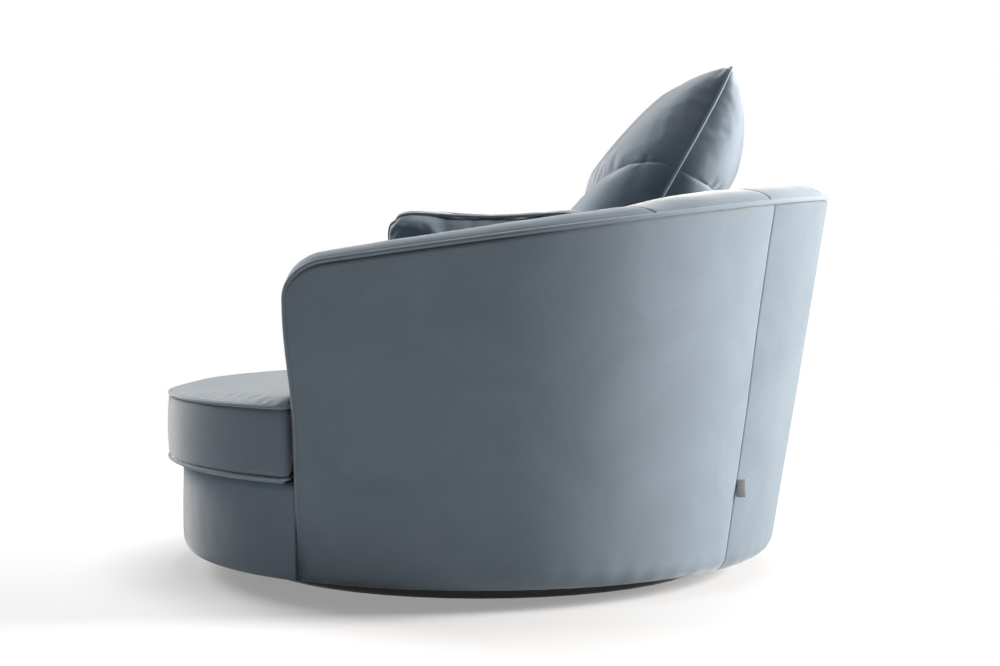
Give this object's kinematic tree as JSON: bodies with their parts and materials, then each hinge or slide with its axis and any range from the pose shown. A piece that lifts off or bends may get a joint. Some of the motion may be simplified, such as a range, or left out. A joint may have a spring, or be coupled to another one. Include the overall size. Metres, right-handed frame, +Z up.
{
  "type": "swivel cuddle chair",
  "caption": "Low round upholstered swivel chair: flared wraparound arms and back with padded rim, drum seat, loose seat, back and scatter cushions, recessed round base.",
  "frame": {"origin": "on the floor at the swivel axis, at the centre of the underside of the base board", "axes": "+Z up along the swivel axis, -Y towards the front of the seat, +X towards the sitter's left arm"},
  "size_m": [1.2742, 1.2442, 0.9105],
  "materials": {
    "velvet": "brushed short-pile velvet, dusty blue-grey",
    "cushion_velvet": "same velvet over feather and foam fillings",
    "piping": "velvet-covered piping cord",
    "woven_tag": "bare woven ribbon",
    "black_board": "black satin lacquer",
    "zinc_steel": "bright zinc plate",
    "spring_steel": "oiled spring wire",
    "plywood": "raw birch plywood",
    "timber": "planed softwood",
    "felt": "needled felt",
    "lining_cloth": "spun-bonded black lining"
  },
  "bodies": {
    "base": {"base_board": "black_board", "lower_race": "zinc_steel", "lower_race_screw_1": "zinc_steel", "lower_race_screw_2": "zinc_steel", "lower_race_screw_3": "zinc_steel", "lower_race_screw_4": "zinc_steel"},
    "ball_cage": {"ball_cage": "zinc_steel"},
    "chair": {"upper_race": "zinc_steel", "bottom_board": "plywood", "upper_race_screw_1": "zinc_steel", "upper_race_screw_2": "zinc_steel", "upper_race_screw_3": "zinc_steel", "upper_race_screw_4": "zinc_steel", "dust_cover": "lining_cloth", "wall_rib_1": "plywood", "wall_rib_2": "plywood", "wall_rib_3": "plywood", "wall_rib_4": "plywood", "wall_rib_5": "plywood", "wall_rib_6": "plywood", "wall_rib_7": "plywood", "arm_post_left": "timber", "top_rail_left": "plywood", "arm_post_right": "timber", "top_rail_right": "plywood", "top_rail_back": "plywood", "front_rail": "timber", "front_panel": "plywood", "front_post_1": "timber", "front_post_2": "timber", "front_post_3": "timber", "front_post_4": "timber", "front_border": "velvet", "deck_ring": "plywood", "seat_spring_1": "spring_steel", "seat_spring_2": "spring_steel", "seat_spring_3": "spring_steel", "seat_spring_4": "spring_steel", "seat_spring_5": "spring_steel", "deck_felt": "felt", "deck_cloth": "lining_cloth", "outside_arm_left": "velvet", "inside_arm_left": "velvet", "capping_arm_left": "velvet", "capping_corner_left": "velvet", "outside_arm_right": "velvet", "inside_arm_right": "velvet", "capping_arm_right": "velvet", "capping_corner_right": "velvet", "outside_back": "velvet", "inside_back": "velvet", "capping_back": "velvet", "rim_piping_outer": "piping", "rim_piping_inner": "piping", "seam_tag": "woven_tag"},
    "seat_cushion": {"seat_cushion": "cushion_velvet"},
    "back_cushion": {"back_cushion": "cushion_velvet"},
    "scatter_cushion_left": {"scatter_cushion_left": "cushion_velvet"},
    "scatter_cushion_right": {"scatter_cushion_right": "cushion_velvet"}
  },
  "joints": [
    {"name": "swivel", "type": "hinge", "parent": "base", "child": "chair", "pos_m": [0, 0, 0.03], "axis": [0, 0, 1], "continuous": true},
    {"name": "cage_turn", "type": "hinge", "parent": "base", "child": "ball_cage", "pos_m": [0, 0, 0.03], "axis": [0, 0, 1], "continuous": true},
    {"name": "seat_cushion_lift", "type": "slide", "parent": "chair", "child": "seat_cushion", "axis": [0, -0.1191, 0.9929], "range_m": [0, 0.25]},
    {"name": "back_cushion_lift", "type": "slide", "parent": "seat_cushion", "child": "back_cushion", "axis": [0, 0, 1], "range_m": [0, 0.25]},
    {"name": "scatter_left_lift", "type": "slide", "parent": "seat_cushion", "child": "scatter_cushion_left", "axis": [0, 0, 1], "range_m": [0, 0.25]},
    {"name": "scatter_right_lift", "type": "slide", "parent": "seat_cushion", "child": "scatter_cushion_right", "axis": [0, 0, 1], "range_m": [0, 0.25]}
  ],
  "couplings": [
    {"joint": "cage_turn", "follows": "swivel", "ratio": 0.5}
  ]
}
